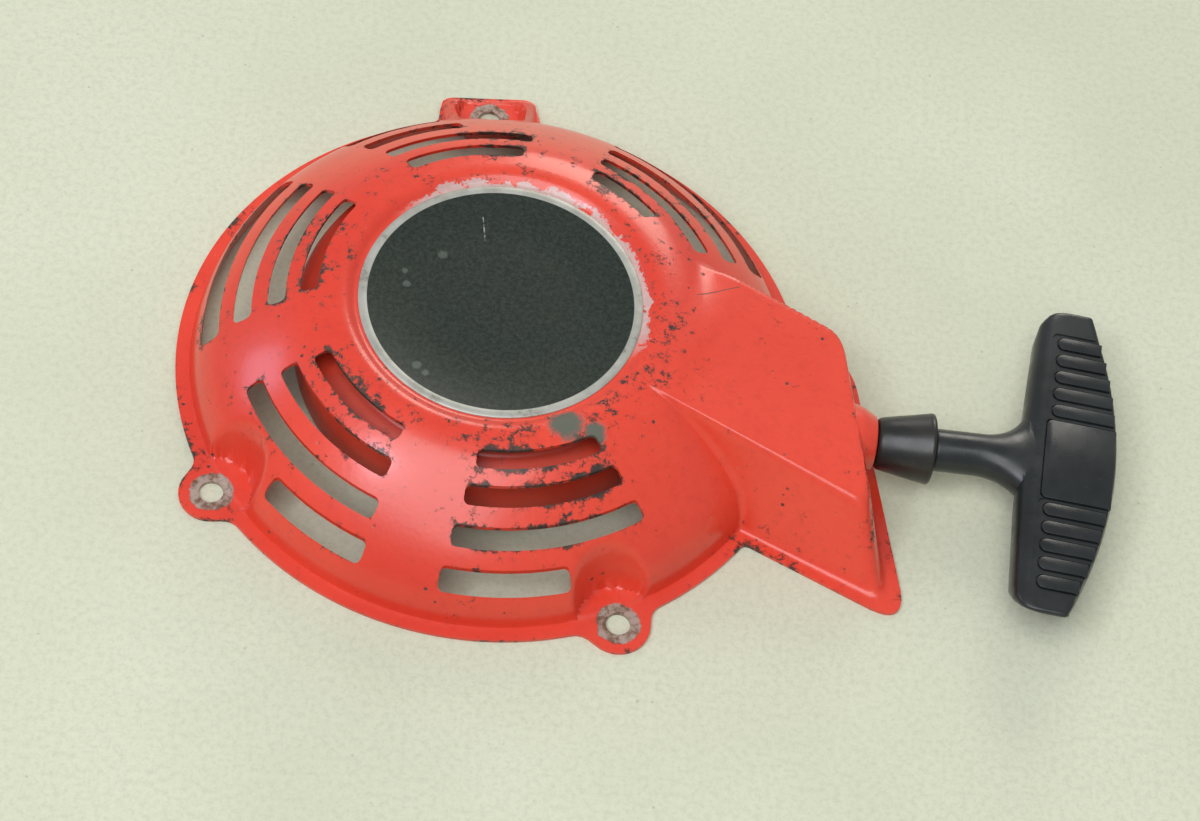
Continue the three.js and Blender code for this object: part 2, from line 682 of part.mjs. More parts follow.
function ratchetGuide() {
  const lobe = [];
  const steps = 8;
  const clearance = CAM_PIN_R + GAP;
  for (let k = 0; k <= steps; k += 1) {
    const { radius, angle } = camPin(k / steps);
    lobe.push([radius - clearance - 0.15, angle]);
  }
  const low = lobe[0];
  const high = lobe[steps];
  const profile = [
    [low[0] - 0.5, low[1] + 16], [low[0] - 0.3, low[1] + 8], ...lobe,
    [high[0], high[1] - 14], [high[0] - 0.4, high[1] - 30],
    [low[0], high[1] - 44], [low[0] - 0.8, high[1] - 62],
  ];
  const bothLobes = [...profile, ...profile.map(([r, a]) => [r, a - 180])];
  const outline = bothLobes.map(([r, a]) => polar(r, a)).reverse();
  return cut(prism(outline, 6.1, 8.6), disc(JOURNAL_R + GAP, 5, 10, 0, 0, 32));
}

function frictionSpring() {
  return ring([[7.4, 4.7], [10.6, 4.7], [11.2, 5.2], [10.6, 5.8], [7.4, 5.8]], 32);
}

function frictionWasher() {
  return ring([[3.3, 3.1], [13, 3.1], [13, 4.2], [3.3, 4.2]], 32);
}

function centreScrew() {
  const head = disc(5.2, 0.4, 2.3, 0, 0, 6);
  const flange = disc(6.8, 1.8, 2.8, 0, 0, 28);
  return join(head, flange, disc(2.9, 2.7, 18.5, 0, 0, 20));
}

// ---------- assembly ----------
const starter = new THREE.Group();

function place(name, body, look) {
  const geometry = toCreasedNormals(surface(body), radians(35));
  const mesh = new THREE.Mesh(geometry, look);
  mesh.name = name;
  starter.add(mesh);
}

place('starter_case', starterCase(), redPaint);
place('reel_housing', reelHousing(), innerPaint);
place('emblem_plate', disc(42.1, RECESS_Z + GAP, 35.7, 0, 0, 48), emblemBlack);
rivetPlaces.forEach((spot, k) => place(`housing_rivet_${k + 1}`, rivet(spot), hardSteel));
place('reel_shaft', reelShaft(), hardSteel);
place('rope_bush', ropeBush(), bushNylon);
place('rubber_bumper', bumper(), blackRubber);
place('pull_handle', pullHandle(), gripPlastic);
place('rope_retainer', ropeRetainer(), zincSteel);
place('rope_lead', ropeLead(), rope);
place('rope_knot_grip', knot(POCKET_X + 6.2, PULL_Y, PULL_Z, 4.1, true), rope);
place('rope_coil', ropeCoil(), rope);
place('rope_knot_reel', knot(...knotPlace, 20.6, 3.8, false), rope);
place('reel', reel(), reelPlastic);
place('recoil_spring', recoilSpring(), springSteel);
Object.entries(pawlAngles).forEach(([letter, angle]) => {
  place(`pawl_${letter}`, pawl(angle), hardSteel);
  place(`pawl_pin_${letter}`, pawlPin(angle), hardSteel);
  place(`pawl_spring_${letter}`, pawlSpring(angle), springSteel);
});
place('ratchet_guide', ratchetGuide(), zincSteel);
place('friction_spring', frictionSpring(), springSteel);
place('friction_washer', frictionWasher(), zincSteel);
place('centre_screw', centreScrew(), zincSteel);

export default starter;
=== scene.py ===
import math

import bmesh
import bpy
import numpy as np
from mathutils import Matrix, Vector


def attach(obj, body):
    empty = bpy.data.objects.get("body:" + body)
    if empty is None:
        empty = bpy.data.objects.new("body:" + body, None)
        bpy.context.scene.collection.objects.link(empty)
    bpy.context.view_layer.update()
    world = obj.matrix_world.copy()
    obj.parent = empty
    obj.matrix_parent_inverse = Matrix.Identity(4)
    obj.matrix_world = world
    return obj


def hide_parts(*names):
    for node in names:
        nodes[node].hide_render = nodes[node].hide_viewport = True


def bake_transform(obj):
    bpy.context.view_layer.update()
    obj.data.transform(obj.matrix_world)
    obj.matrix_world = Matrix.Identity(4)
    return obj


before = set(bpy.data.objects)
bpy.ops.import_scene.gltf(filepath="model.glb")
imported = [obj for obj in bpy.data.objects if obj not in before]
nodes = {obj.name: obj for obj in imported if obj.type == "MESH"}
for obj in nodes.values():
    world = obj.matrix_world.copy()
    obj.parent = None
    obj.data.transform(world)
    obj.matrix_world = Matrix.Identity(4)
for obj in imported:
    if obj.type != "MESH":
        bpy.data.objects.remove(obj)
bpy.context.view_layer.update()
MM = 0.001

# ---------------------------------------------------------------- dimensions, mm
SHEET = 1.2
FLANGE_R = 95.7
DOME = [(0, 34.6), (42.8, 34.6), (44.6, 36.5), (47.4, 37.4), (53, 36.6), (58.9, 34.8), (68.5, 29.3),
        (78.2, 22.2), (84, 17), (87.6, 12.6), (90, 7.6), (91, 3.4), (91.6, 0.0)]
SLOT_RINGS = [56.3, 65.8, 75.7, 85.2]
SLOT_WIDTH = 5.2
SLOT_CORNER = 1.7
RIB_HALF = 11.3
GROUP_START, GROUP_STEP = 46.5, 60
# (group, ring): the end of the slot that is cut short, and its angle
SHORT_SLOTS = {(0, 0): ("start", 41.3), (1, 2): ("start", 103.8), (1, 3): ("start", 107.4),
               (3, 3): ("start", 225.2), (4, 3): ("end", 289.7)}
BOLT_R = 96.0
HOLE_R = 3.6
EAR_R = 9.5
EARS = {"back": 96.0, "left": 216.0, "right": 297.3}
POCKET_FOOT = {"back": 10.0, "left": 12.0, "right": 12.0}
TAB_HALF_WIDTH, TAB_END = 15.8, 105.2
BLOCK_TOP, BLOCK_HALF_WIDTH, BLOCK_END = 7.2, 15.2, 104.0
DISH_R = 88
OUTSIDE_R = 150
PULL_Y = -21.8
PULL_Z = 15.0


def unit(angle):
    return np.array([math.cos(math.radians(angle)), math.sin(math.radians(angle))])


def polar(radius, angle):
    return radius * unit(angle)


def in_direction(x, y, angle):
    """Distances in plan along a direction from the crank axis, and to its left."""
    ux, uy = unit(angle)
    return x * ux + y * uy, y * ux - x * uy


def round_angles(sides):
    return np.linspace(0, 2 * math.pi, sides + 1)[:-1]


def circle(x, y, radius, sides):
    return [(x + radius * math.cos(a), y + radius * math.sin(a)) for a in round_angles(sides)]


# ---------------------------------------------------------------- meshes
def new_object(name, mesh):
    obj = bpy.data.objects.new(name, mesh)
    bpy.context.scene.collection.objects.link(obj)
    return obj


def mesh_from(name, points, faces):
    mesh = bpy.data.meshes.new(name)
    mesh.from_pydata([tuple(p) for p in np.asarray(points) * MM], [], faces)
    mesh.validate()
    mesh.update()
    return new_object(name, mesh)


def apply_modifiers(obj):
    graph = bpy.context.evaluated_depsgraph_get()
    mesh = bpy.data.meshes.new_from_object(obj.evaluated_get(graph))
    obj.modifiers.clear()
    old = obj.data
    obj.data = mesh
    bpy.data.meshes.remove(old)


def smooth(obj, angle):
    for polygon in obj.data.polygons:
        polygon.use_smooth = True
    obj.data.set_sharp_from_angle(angle=math.radians(angle))


def boolean(obj, other, operation):
    modifier = obj.modifiers.new("cut", "BOOLEAN")
    modifier.operation = operation
    modifier.solver = "MANIFOLD"
    modifier.object = other
    apply_modifiers(obj)
    bpy.data.objects.remove(other, do_unlink=True)


def joined(name, objects):
    merged = bmesh.new()
    for obj in objects:
        merged.from_mesh(obj.data)
        bpy.data.objects.remove(obj, do_unlink=True)
    mesh = bpy.data.meshes.new(name)
    merged.to_mesh(mesh)
    merged.free()
    return new_object(name, mesh)


def loft(name, sections, ring=False):
    """Skin over equal loops of points; the first and last loop are capped unless the loft is a ring."""
    rows, count = len(sections), len(sections[0])
    points = np.concatenate(sections)
    faces = []
    for row in range(rows if ring else rows - 1):
        below, above = row * count, (row + 1) % rows * count
        for k in range(count):
            nxt = (k + 1) % count
            faces.append((below + k, below + nxt, above + nxt, above + k))
    if not ring:
        faces.append(tuple(range(count))[::-1])
        faces.append(tuple(range((rows - 1) * count, rows * count)))
    obj = mesh_from(name, points, faces)
    fix = bmesh.new()
    fix.from_mesh(obj.data)
    bmesh.ops.recalc_face_normals(fix, faces=fix.faces)
    fix.to_mesh(obj.data)
    fix.free()
    return obj


def turned(name, profile, segments, axis="z"):
    """Solid of revolution of a closed (radius, height) loop about Z, or about the pull axis."""
    sections = []
    for k in range(segments):
        c, s = math.cos(2 * math.pi * k / segments), math.sin(2 * math.pi * k / segments)
        if axis == "z":
            sections.append(np.array([(r * c, r * s, h) for r, h in profile]))
        else:
            sections.append(np.array([(h, PULL_Y + r * c, PULL_Z + r * s) for r, h in profile]))
    return loft(name, sections, ring=True)


def prism(name, outline, low, high):
    base = np.array([(x, y, low) for x, y in outline])
    top = np.array([(x, y, high) for x, y in outline])
    return loft(name, [base, top])


def rounded(profile, radius, steps):
    """Closed loop with each corner turned by an arc-like curve."""
    result = []
    count = len(profile)
    for k in range(count):
        before, here, after = (np.array(profile[(k + j) % count], float) for j in (-1, 0, 1))
        reach = min(radius, np.linalg.norm(before - here) / 2.01, np.linalg.norm(after - here) / 2.01)
        start = here + (before - here) / np.linalg.norm(before - here) * reach
        end = here + (after - here) / np.linalg.norm(after - here) * reach
        for step in range(steps + 1):
            t = step / steps
            result.append(tuple((1 - t) ** 2 * start + 2 * t * (1 - t) * here + t ** 2 * end))
    return result


# ---------------------------------------------------------------- cover surface
def smooth_max(a, b, k):
    h = np.clip(0.5 + 0.5 * (a - b) / k, 0, 1)
    return b * (1 - h) + a * h + k * h * (1 - h)


def smooth_min(a, b, k):
    return -smooth_max(-a, -b, k)


def smoothed_profile(points, rounds=3):
    line = np.array(points, float)
    for _ in range(rounds):
        ahead, back = line[1:], line[:-1]
        line = np.concatenate([[line[0]], np.stack([back * 0.75 + ahead * 0.25, back * 0.25 + ahead * 0.75],
                                                   1).reshape(-1, 2), [line[-1]]])
    return line


DOME_LINE = smoothed_profile(DOME)
SNOUT_ANGLE, SNOUT_START = -20.5, 60
ROOF_PLACE, ROOF_HEIGHT, ROOF_FALL, ROOF_TILT = 85, 31, 0.16, 0.05
# each side's direction and its distance from the crank axis, at the foot and at the roof
SNOUT_FOOT = {"front": (-114.3, 12.6), "end": (11.5, 107.0), "back": (69.5, 50.5)}
SNOUT_ROOF = {"front": (-110.5, 8.4), "end": (10.5, 102.6), "back": (69.5, 43.3)}
SNOUT_LIP = {"front": 3.4, "end": 4.0, "back": 4.6}


def snout_height(x, y):
    along, across = in_direction(x, y, SNOUT_ANGLE)
    roof = ROOF_HEIGHT - ROOF_FALL * (along - ROOF_PLACE) - ROOF_TILT * across
    rise = None
    for side, (foot_angle, foot) in SNOUT_FOOT.items():
        roof_angle, edge = SNOUT_ROOF[side]
        to_foot = foot - in_direction(x, y, foot_angle)[0]
        to_roof = edge - in_direction(x, y, roof_angle)[0]
        share = np.clip(to_foot / np.maximum(to_foot - to_roof, 0.5), -1, 2.4)
        rise = share if rise is None else smooth_min(rise, share, 0.9)
    height = smooth_min(roof, rise * roof, 3.2)
    start = np.clip(SNOUT_START - along, 0, None)
    return height - 0.02 * start ** 2


def back_block(x, y):
    """Raised block at the back ear, sunk out of the way over the rest of the cover."""
    out, side = in_direction(x, y, EARS["back"])
    top = BLOCK_TOP - (out - 96.4) * 0.5
    height = smooth_min(top, (BLOCK_HALF_WIDTH - np.abs(side)) * 2.6, 1.6)
    return smooth_min(height, (BLOCK_END - out) * 2.4, 1.6) - 40 * (out < 40)


def cover_height(x, y):
    radius = np.hypot(x, y)
    height = np.interp(radius, DOME_LINE[:, 0], DOME_LINE[:, 1], right=0)
    height = smooth_max(height, snout_height(x, y), 3.0)
    height = smooth_max(height, back_block(x, y), 2.0)
    for ear, angle in EARS.items():
        cx, cy = polar(BOLT_R, angle)
        away = np.hypot(x - cx, y - cy)
        scallop = SHEET + (away - POCKET_FOOT[ear]) * 32 / 7 * (1.25 if ear == "back" else 1)
        height = smooth_min(height, np.maximum(scallop, SHEET), 3.0)
    return smooth_max(height, SHEET + 0 * x, 2.2)


def outline_distance(x, y):
    """Signed distance-like field of the flange outline in plan, negative inside."""
    field = np.hypot(x, y) - FLANGE_R
    for ear in ("left", "right"):
        cx, cy = polar(BOLT_R, EARS[ear])
        field = smooth_min(field, np.hypot(x - cx, y - cy) - EAR_R, 5.0)
    out, side = in_direction(x, y, EARS["back"])
    tab = smooth_max(np.abs(side) - TAB_HALF_WIDTH, out - TAB_END, 5.0) + 400 * (out < 40)
    field = smooth_min(field, tab, 4.0)
    lip = None
    for edge, width in SNOUT_LIP.items():
        angle, distance = SNOUT_FOOT[edge]
        plane = in_direction(x, y, angle)[0] - distance - width
        lip = plane if lip is None else smooth_max(lip, plane, 11.0)
    lip = smooth_max(lip, SNOUT_START - in_direction(x, y, SNOUT_ANGLE)[0], 1.0)
    return smooth_min(field, lip, 2.0)


def outline_radius(angles):
    """Flange radius at each angle: a scan outwards, then halving."""
    reach = np.linspace(DISH_R, OUTSIDE_R, 1241)
    x = np.outer(np.cos(angles), reach)
    y = np.outer(np.sin(angles), reach)
    inside = outline_distance(x, y) < 0
    last = inside.shape[1] - 1 - np.argmax(inside[:, ::-1], axis=1)
    low, high = reach[last], reach[last] + 0.05
    for _ in range(20):
        middle = (low + high) / 2
        within = outline_distance(middle * np.cos(angles), middle * np.sin(angles)) < 0
        low, high = np.where(within, middle, low), np.where(within, high, middle)
    return low


def spaced_angles():
    """Angles round the cover, closer together at the snout's front corner."""
    first, last = -42, -16
    near, others = np.arange(first, last, 0.25), np.arange(last, 360 + first, 0.72)
    return np.radians(np.concatenate([near, others]))


def slot_outline(radius, start, end):
    inner, outer = radius - SLOT_WIDTH / 2, radius + SLOT_WIDTH / 2
    loop = []
    for r, a, b in ((outer, start, end), (inner, end, start)):
        trim = math.copysign(math.degrees(SLOT_CORNER / r), b - a)
        edge = -SLOT_CORNER if r == outer else SLOT_CORNER
        corner = [polar(r + edge * (1 - math.sin(t)), a + trim * (1 - math.cos(t)))
                  for t in np.linspace(0, math.pi / 2, 5)]
        loop += corner
        loop += [polar(r, v) for v in np.linspace(a + trim, b - trim, 26)[1:-1]]
        loop += [polar(r + edge * (1 - math.sin(t)), b - trim * (1 - math.cos(t)))
                 for t in np.linspace(math.pi / 2, 0, 5)]
    return loop


def slot_ends():
    found = []
    for group in range(5):
        middle = GROUP_START + GROUP_STEP * group
        for ring, radius in enumerate(SLOT_RINGS):
            half = 30 - math.degrees(math.asin(RIB_HALF / radius))
            ends = {"start": middle - half, "end": middle + half}
            if (group, ring) in SHORT_SLOTS:
                side, angle = SHORT_SLOTS[group, ring]
                ends[side] = angle
            found.append((radius, ends["start"], ends["end"]))
    return found


def slot_nearness(x, y):
    """Distance in plan to the nearest slot, in mm."""
    radius, angle = np.hypot(x, y), np.degrees(np.arctan2(y, x)) % 360
    nearest = np.full(x.shape, 99.0)
    for ring_radius, start, end in slot_ends():
        over = np.maximum(start - angle, angle - end)
        over = np.maximum(over, 0) * np.pi / 180 * radius
        across = np.maximum(np.abs(radius - ring_radius) - SLOT_WIDTH / 2, 0)
        nearest = np.minimum(nearest, np.hypot(over, across))
    return nearest


def cover_sheet():
    """The cover's outer surface as one open sheet, in rays from the crank axis."""
    angles = spaced_angles()
    fixed = np.concatenate([[14, 28, 40], np.arange(42, 50, 0.7), np.arange(50, DISH_R, 1.0)])
    outer = np.linspace(0, 1, 46)
    points = []
    for angle, limit in zip(angles, outline_radius(angles)):
        radii = np.concatenate([fixed, DISH_R + (limit - DISH_R) * outer])
        points.append(np.stack([radii * math.cos(angle), radii * math.sin(angle)], 1))
    plan = np.concatenate(points)
    surface = np.column_stack([plan, cover_height(plan[:, 0], plan[:, 1])])
    index = np.arange(len(plan)).reshape(len(angles), -1)
    after = np.roll(index, -1, axis=0)
    quads = np.stack([index[:, :-1], index[:, 1:], after[:, 1:], after[:, :-1]], -1).reshape(-1, 4)
    faces = [tuple(map(int, quad)) for quad in quads]
    faces.append(tuple(map(int, index[:, 0])))
    return mesh_from("cover_pressing", surface, faces)


def make_cover():
    cover = cover_sheet()
    shell = cover.modifiers.new("sheet", "SOLIDIFY")
    shell.thickness = SHEET * MM
    shell.offset = -1
    shell.use_even_offset = False
    apply_modifiers(cover)
    cutters = [prism("cut", slot_outline(*ends), 2, 60) for ends in slot_ends()]
    for angle in EARS.values():
        cutters.append(prism("cut", circle(*polar(BOLT_R, angle), HOLE_R, 48), -4, 8))
    boolean(cover, joined("cutters", cutters), "DIFFERENCE")
    smooth(cover, 42)
    mark_cover(cover)
    return cover


def mark_cover(cover):
    """Vertex marks that the paint reads: nearness to slots, outline, bolt holes and snout edge."""
    mesh = cover.data
    co = np.empty(len(mesh.vertices) * 3)
    mesh.vertices.foreach_get("co", co)
    x, y, z = co.reshape(-1, 3).T / MM
    bolts = [polar(BOLT_R, angle) for angle in EARS.values()]
    ears = np.min([np.hypot(x - cx, y - cy) for cx, cy in bolts], axis=0)
    end_angle, end_distance = SNOUT_ROOF["end"]
    snout_edge = np.abs(in_direction(x, y, end_angle)[0] - end_distance - 1.0)
    marks = {
        "snout_edge": np.exp(-snout_edge / 1.4) * (z > 12),
        "slot_edge": np.exp(-slot_nearness(x, y) / 1.6),
        "rim_edge": np.exp(np.clip(outline_distance(x, y), -60, 0) / 1.8),
        "bolt_ring": 1 - np.clip((ears - 5.2) / 2.6, 0, 1),
    }
    for name, values in marks.items():
        layer = mesh.attributes.new(name, "FLOAT", "POINT")
        layer.data.foreach_set("value", values.astype(np.float32))


# ---------------------------------------------------------------- grip and bumper
BAR_X, BAR_Y, BAR_TILT = 159.3, -22.6, -5.5
BAR_WIDTH, BAR_END_WIDTH, BAR_HALF_LENGTH, BAR_HALF = 28.0, 16.8, 53.9, 6.5
RIB_FIRST, RIB_PITCH, RIB_HALF_WIDTH = 17.8, 6.26, 2.15
PAD_HALF_LENGTH, PAD_SHIFT = 14.0, -1.2
STEM_R, FLARE_X = 6.4, 146


def turn_bar(points):
    """From the bar's own frame (across, along, up) to the part's."""
    c, s = unit(BAR_TILT)
    x, w, z = np.array(points).T
    return np.column_stack([BAR_X + x * c - w * s, BAR_Y + x * s + w * c, PULL_Z + z])


def bar_sides(w):
    inner = np.interp(abs(w), [17, 44, 49.2, 52.0, 53.2, 53.9], [-0.6, 0.4, 1.4, 3.4, 5.2, 7.4])
    outer = BAR_WIDTH - (BAR_WIDTH - BAR_END_WIDTH) * (w / BAR_HALF_LENGTH) ** 2
    return inner, outer


def bar_section(w, inset):
    inner, outer = bar_sides(w)
    inner, outer = inner + inset, outer - inset
    high = BAR_HALF - inset
    low = max(-high, -BAR_HALF + 1.15 * (abs(w) - 43.9))
    middle, half = (high + low) / 2, (high - low) / 2
    depth = min(5.2, (outer - inner) * 0.4)
    points = []
    for k in range(15):
        a = math.pi / 2 + math.pi * k / 14
        rise = math.copysign(abs(math.sin(a)) ** 0.75, math.sin(a))
        points.append((inner + depth + depth * math.cos(a), middle + half * rise))
    flat = outer - 2.4 - inner - depth
    points += [(inner + depth + flat * t, low) for t in (0.33, 0.66)]
    edge = [(2.4, 1.0), (0.8, 0.92), (0.2, 0.74), (0.0, 0.3)]
    points += [(outer - back, middle - half * up) for back, up in edge]
    points += [(outer - back, middle + half * up) for back, up in reversed(edge)]
    points += [(inner + depth + flat * t, high) for t in (0.66, 0.33)]
    return turn_bar([(px, w, pz) for px, pz in points])


def make_bar():
    ends = [(53.9, 0.6), (53.8, 0.3), (53.5, 0.08), (53.1, 0.0), (52.2, 0.0)]
    spots = [(-w, inset) for w, inset in ends]
    spots += [(w, 0.0) for w in np.linspace(-50.6, 50.6, 63)]
    spots += [(w, inset) for w, inset in reversed(ends)]
    return loft("grip_bar", [bar_section(w, inset) for w, inset in spots])


def make_stem():
    """Round stem that widens sideways into the bar."""
    sections = []
    tip = [132.8, 133.0, 133.4, 134.2]
    for x in np.concatenate([tip, np.linspace(136, FLARE_X, 6), np.linspace(147, 166, 30)]):
        past = max(0.0, x - FLARE_X)
        radius = 5.9 if x < 132.9 else 6.2 if x < 133.2 else STEM_R
        bulge = min(past / 15.5, 0.995)
        wide = radius + 15 * (1 - math.sqrt(max(0.0, 1 - bulge ** 2)))
        loop = [(x, PULL_Y - 0.07 * past + wide * math.cos(a), PULL_Z + (radius - 0.05) * math.sin(a))
                for a in round_angles(72)]
        sections.append(np.array(loop))
    return loft("grip_stem", sections)


def capsule(x0, x1, w, half, low, high, bevel, corner=None):
    """Raised or sunk field on the bar: round towards the fingers, square at the outer edge."""
    corner = half if corner is None else corner
    loop = [(x1, w - half), (x1, w + half)]
    loop += [(x0 + corner - corner * math.sin(a), w + half - corner + corner * math.cos(a))
             for a in np.linspace(0, math.pi / 2, 9)]
    loop += [(x0 + corner - corner * math.cos(a), w - half + corner - corner * math.sin(a))
             for a in np.linspace(0, math.pi / 2, 9)]
    piece = loft("raised", [turn_bar([(x, v, z) for x, v in loop]) for z in (low, high)])
    if bevel:
        edge = piece.modifiers.new("edge", "BEVEL")
        edge.width, edge.segments, edge.angle_limit = bevel * MM, 2, math.radians(40)
        apply_modifiers(piece)
    return piece


def grip_fields(low, high, grow, bevel):
    """The ten ribs and the plain pad of one face, each grown by the given amount."""
    pieces = []
    for side in (-1, 1):
        for k in range(5):
            w = PAD_SHIFT + side * (RIB_FIRST + RIB_PITCH * k)
            _, outer = bar_sides(w)
            end = outer - 0.9 + grow
            pieces.append(capsule(7.0 - grow, end, w, RIB_HALF_WIDTH + grow, low, high, bevel))
    pad_end = BAR_WIDTH - 1.1 + grow
    pieces.append(capsule(5.9 - grow, pad_end, PAD_SHIFT, PAD_HALF_LENGTH + grow, low, high, bevel, 2.0))
    return joined("fields", pieces)


def grip_panels(low, high):
    """Shallow recesses that hold the ribs, open at the bar's outer edge."""
    middle, half = RIB_FIRST + 2 * RIB_PITCH, 2 * RIB_PITCH + RIB_HALF_WIDTH + 1.3
    pieces = [capsule(5.2, 40, PAD_SHIFT + side * middle, half, low, high, 0, 1.8) for side in (-1, 1)]
    return joined("panels", pieces)


def make_grip():
    grip = make_bar()
    boolean(grip, make_stem(), "UNION")
    for face in (1, -1):
        panel = sorted((face * 6.15, face * 7.4))
        sunk = sorted((face * 5.7, face * 7.4))
        raised = sorted((face * 5.5, face * 6.66))
        boolean(grip, grip_panels(*panel), "DIFFERENCE")
        boolean(grip, grip_fields(*sunk, 0.42, 0), "DIFFERENCE")
        boolean(grip, grip_fields(*raised, 0, 0.3), "UNION")
    bore = turned("bore", [(0.01, 120), (2.8, 120), (2.8, 168), (4.6, 168), (4.6, 195), (0.01, 195)], 48, "x")
    boolean(grip, bore, "DIFFERENCE")
    smooth(grip, 38)
    return grip


def make_bumper():
    line = [(2.8, 115.5), (6.9, 115.5), (7.7, 116.4), (8.3, 119), (9.7, 126.5), (10.5, 130.6), (10.75, 131.4),
            (10.5, 132.2), (9.9, 132.5), (7.4, 132.5), (7.2, 131.2), (2.8, 131.2)]
    bumper = turned("bumper_rubber", rounded(line, 0.6, 3), 120, "x")
    smooth(bumper, 40)
    return bumper


def make_boss():
    line = [(4.6, 100), (11.4, 100), (11.3, 107), (10.4, 110.6), (7.8, 115.2), (6.4, 115.2), (4.6, 114.6)]
    boss = turned("outlet_boss", rounded(line, 0.9, 4), 96, "x")
    smooth(boss, 40)
    return boss


# ---------------------------------------------------------------- emblem and housing
def make_emblem():
    line = [(0.01, 34.95), (41.4, 34.95), (42.1, 35.2), (42.0, 35.5), (41.6, 35.68), (39.9, 35.68),
            (39.5, 35.52), (20, 35.55), (0.01, 35.55)]
    emblem = turned("emblem_disc", line, 240)
    smooth(emblem, 30)
    return emblem


def make_housing():
    outer = [(6, 33.1), (46.6, 33.1), (47.9, 32.4), (49.2, 28.2), (50.6, 27.1), (57.8, 27), (59.6, 26.3),
             (60.5, 24.2), (60.5, 9)]
    inner = [(59.1, 9), (59.1, 24), (58.5, 25.2), (57.4, 25.6), (50, 25.7), (48.2, 26.8), (46.8, 31),
             (46, 31.7), (6, 31.7)]
    housing = turned("housing_pressing", outer + inner, 180)
    window = [(40, 8), (70, 4), (70, 46), (40, 34)]
    boolean(housing, prism("window", window, 0, 21), "DIFFERENCE")
    for k in range(4):
        rivet_hole = circle(*polar(27, 45 + 90 * k), 2.7, 32)
        boolean(housing, prism("hole", rivet_hole, 30, 35), "DIFFERENCE")
    smooth(housing, 40)
    return housing


# ---------------------------------------------------------------- rope
ROPE_R, ROPE_SIDES = 2.1, 20
COIL_R, COIL_PITCH, COIL_TURNS, COIL_START = 53.0, 4.4, 4.0, 0.006
COIL_TUCK = 0.5  # how far the coil draws in over its first half turn, to clear the lead
BEND = np.array([109.5, PULL_Y])
LEAD_ANGLE = math.atan2(BEND[1], BEND[0]) - math.asin(COIL_R / math.hypot(*BEND))
LEAVE = LEAD_ANGLE + math.pi / 2


def rope_tube(name, path):
    path = np.array(path)
    ahead = np.gradient(path, axis=0)
    ahead /= np.linalg.norm(ahead, axis=1)[:, None]
    up = np.array([0, 0, 1.0])
    sections = []
    for point, heading in zip(path, ahead):
        side = np.cross(heading, up)
        side /= np.linalg.norm(side)
        above = np.cross(side, heading)
        ring = [point + ROPE_R * (side * math.cos(a) + above * math.sin(a))
                for a in round_angles(ROPE_SIDES)]
        sections.append(np.array(ring))
    tube = loft(name, sections)
    smooth(tube, 60)
    return tube


def lead_path():
    heading = np.array([math.cos(LEAD_ANGLE), math.sin(LEAD_ANGLE)])
    start = COIL_R * np.array([math.cos(LEAVE), math.sin(LEAVE)])
    into, out = BEND - 2.7 * heading, BEND + np.array([2.7, 0])
    line = [start + (into - start) * t for t in np.linspace(0, 1, 20)]
    line += [(1 - t) ** 2 * into + 2 * t * (1 - t) * BEND + t ** 2 * out for t in np.linspace(0, 1, 8)[1:]]
    line += [out + (np.array([170, PULL_Y]) - out) * t for t in np.linspace(0, 1, 90)[1:]]
    return [(x, y, PULL_Z) for x, y in line]


def coil_path():
    line = []
    for t in np.linspace(COIL_START, COIL_TURNS, 260):
        radius = COIL_R - COIL_PITCH * t - COIL_TUCK * min(2 * t, 1)
        angle = LEAVE + 2 * math.pi * t
        line.append((radius * math.cos(angle), radius * math.sin(angle), PULL_Z))
    return line


